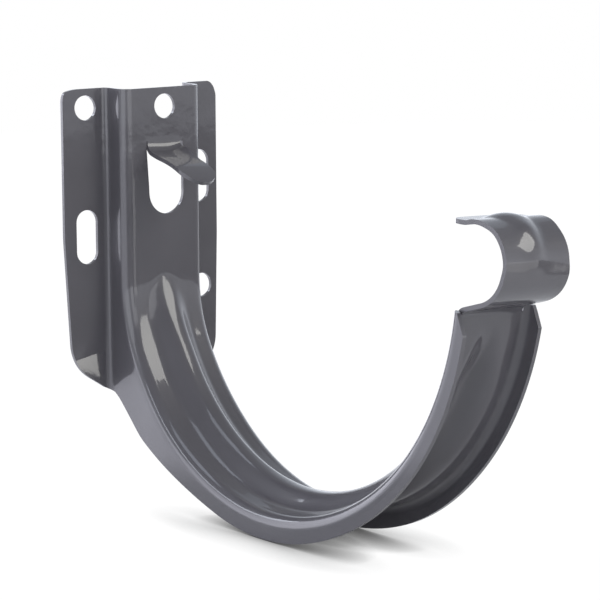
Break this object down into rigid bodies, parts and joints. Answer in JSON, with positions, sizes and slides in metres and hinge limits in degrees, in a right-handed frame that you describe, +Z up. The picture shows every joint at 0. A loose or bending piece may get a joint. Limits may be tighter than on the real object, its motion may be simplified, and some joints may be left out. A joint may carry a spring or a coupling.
{
  "type": "gutter bracket",
  "caption": "Pressed-steel fascia bracket for a half-round gutter, with a flanged fixing plate, ribbed cradle arm, bend-over tongue and front bead clip.",
  "frame": {"origin": "on the fascia plane, on the bracket's centreline, at the height of the gutter's axis", "axes": "+X along the gutter, +Y into the fascia so that the bracket stands out toward -Y, +Z up"},
  "size_m": [0.0512, 0.1566, 0.1156],
  "materials": {
    "painted_steel": "gloss dark grey coat"
  },
  "bodies": {
    "root": {"bracket": "painted_steel"}
  },
  "joints": []
}
